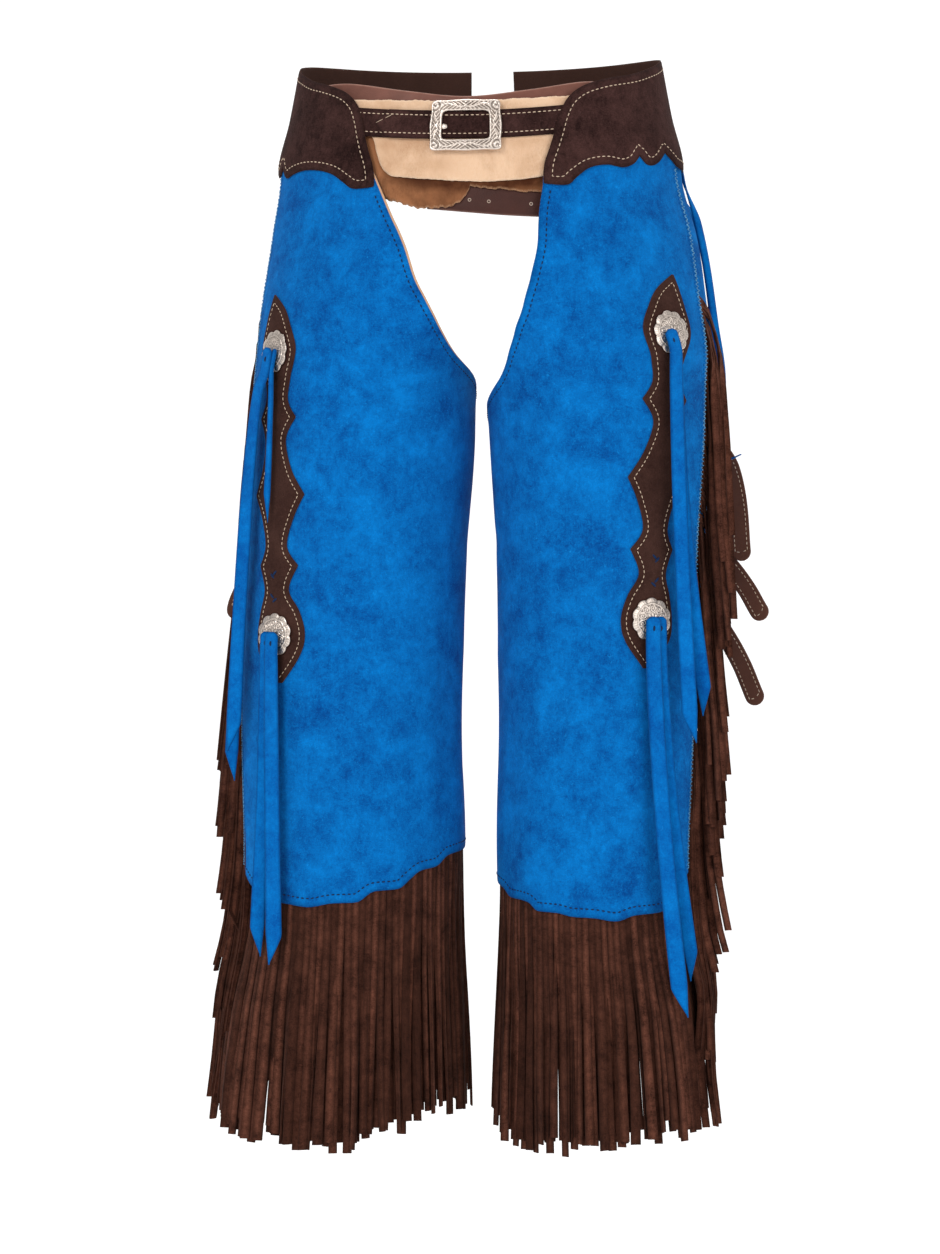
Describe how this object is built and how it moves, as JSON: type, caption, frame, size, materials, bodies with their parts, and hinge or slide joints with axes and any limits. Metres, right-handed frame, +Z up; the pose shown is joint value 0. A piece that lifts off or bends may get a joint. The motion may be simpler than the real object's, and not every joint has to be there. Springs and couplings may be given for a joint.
{
  "type": "leather chaps",
  "caption": "Long fringed riding chaps in blue suede with scalloped brown yokes, a buckled front belt, conchos with hanging ties and long fringe at the sides and hems.",
  "frame": {"origin": "the middle of the waist, level with the top of the front belt, on the wearer's centre line", "axes": "+Z up the body, -Y to the wearer's front, +X to the wearer's left"},
  "size_m": [0.5402, 0.2408, 1.0274],
  "materials": {
    "blue_suede": "napped suede, matte",
    "brown_suede": "napped dark brown suede, matte",
    "brown_fringe_suede": "cut suede strands, matte",
    "tan_split_leather": "undyed split leather, matte",
    "raw_flesh_leather": "raw flesh side, furry, matte",
    "smooth_brown_leather": "smooth leather, satin",
    "engraved_silver": "engraved silver-coloured metal, aged",
    "plain_nickel": "plain nickel plate"
  },
  "bodies": {
    "root": {"belt_left": "brown_suede", "belt_right": "brown_suede", "buckle": "engraved_silver", "buckle_tongue": "engraved_silver", "upper_flap": "tan_split_leather", "under_flap": "raw_flesh_leather", "waist_band": "smooth_brown_leather", "inner_strap": "smooth_brown_leather", "back_strap": "brown_suede", "left_leg": "blue_suede", "left_back_wing": "blue_suede", "left_yoke": "brown_suede", "left_tab": "brown_suede", "left_upper_concho": "engraved_silver", "left_lower_concho": "engraved_silver", "left_hip_lace_1": "blue_suede", "left_hip_lace_2": "blue_suede", "left_leg_strap_1": "brown_suede", "left_leg_buckle_1": "plain_nickel", "left_leg_strap_2": "brown_suede", "left_leg_buckle_2": "plain_nickel", "left_leg_strap_3": "brown_suede", "left_leg_buckle_3": "plain_nickel", "left_hem_fringe": "brown_fringe_suede", "left_side_fringe": "brown_fringe_suede", "left_welt": "brown_fringe_suede", "right_leg": "blue_suede", "right_back_wing": "blue_suede", "right_yoke": "brown_suede", "right_tab": "brown_suede", "right_upper_concho": "engraved_silver", "right_lower_concho": "engraved_silver", "right_hip_lace_1": "blue_suede", "right_hip_lace_2": "blue_suede", "right_leg_strap_1": "brown_suede", "right_leg_buckle_1": "plain_nickel", "right_leg_strap_2": "brown_suede", "right_leg_buckle_2": "plain_nickel", "right_leg_strap_3": "brown_suede", "right_leg_buckle_3": "plain_nickel", "right_hem_fringe": "brown_fringe_suede", "right_side_fringe": "brown_fringe_suede", "right_welt": "brown_fringe_suede", "left_upper_tie_1": "blue_suede", "left_upper_tie_2": "blue_suede", "left_upper_tie_3": "blue_suede", "left_lower_tie_1": "blue_suede", "left_lower_tie_2": "blue_suede", "right_upper_tie_1": "blue_suede", "right_upper_tie_2": "blue_suede", "right_lower_tie_1": "blue_suede", "right_lower_tie_2": "blue_suede"}
  },
  "joints": []
}
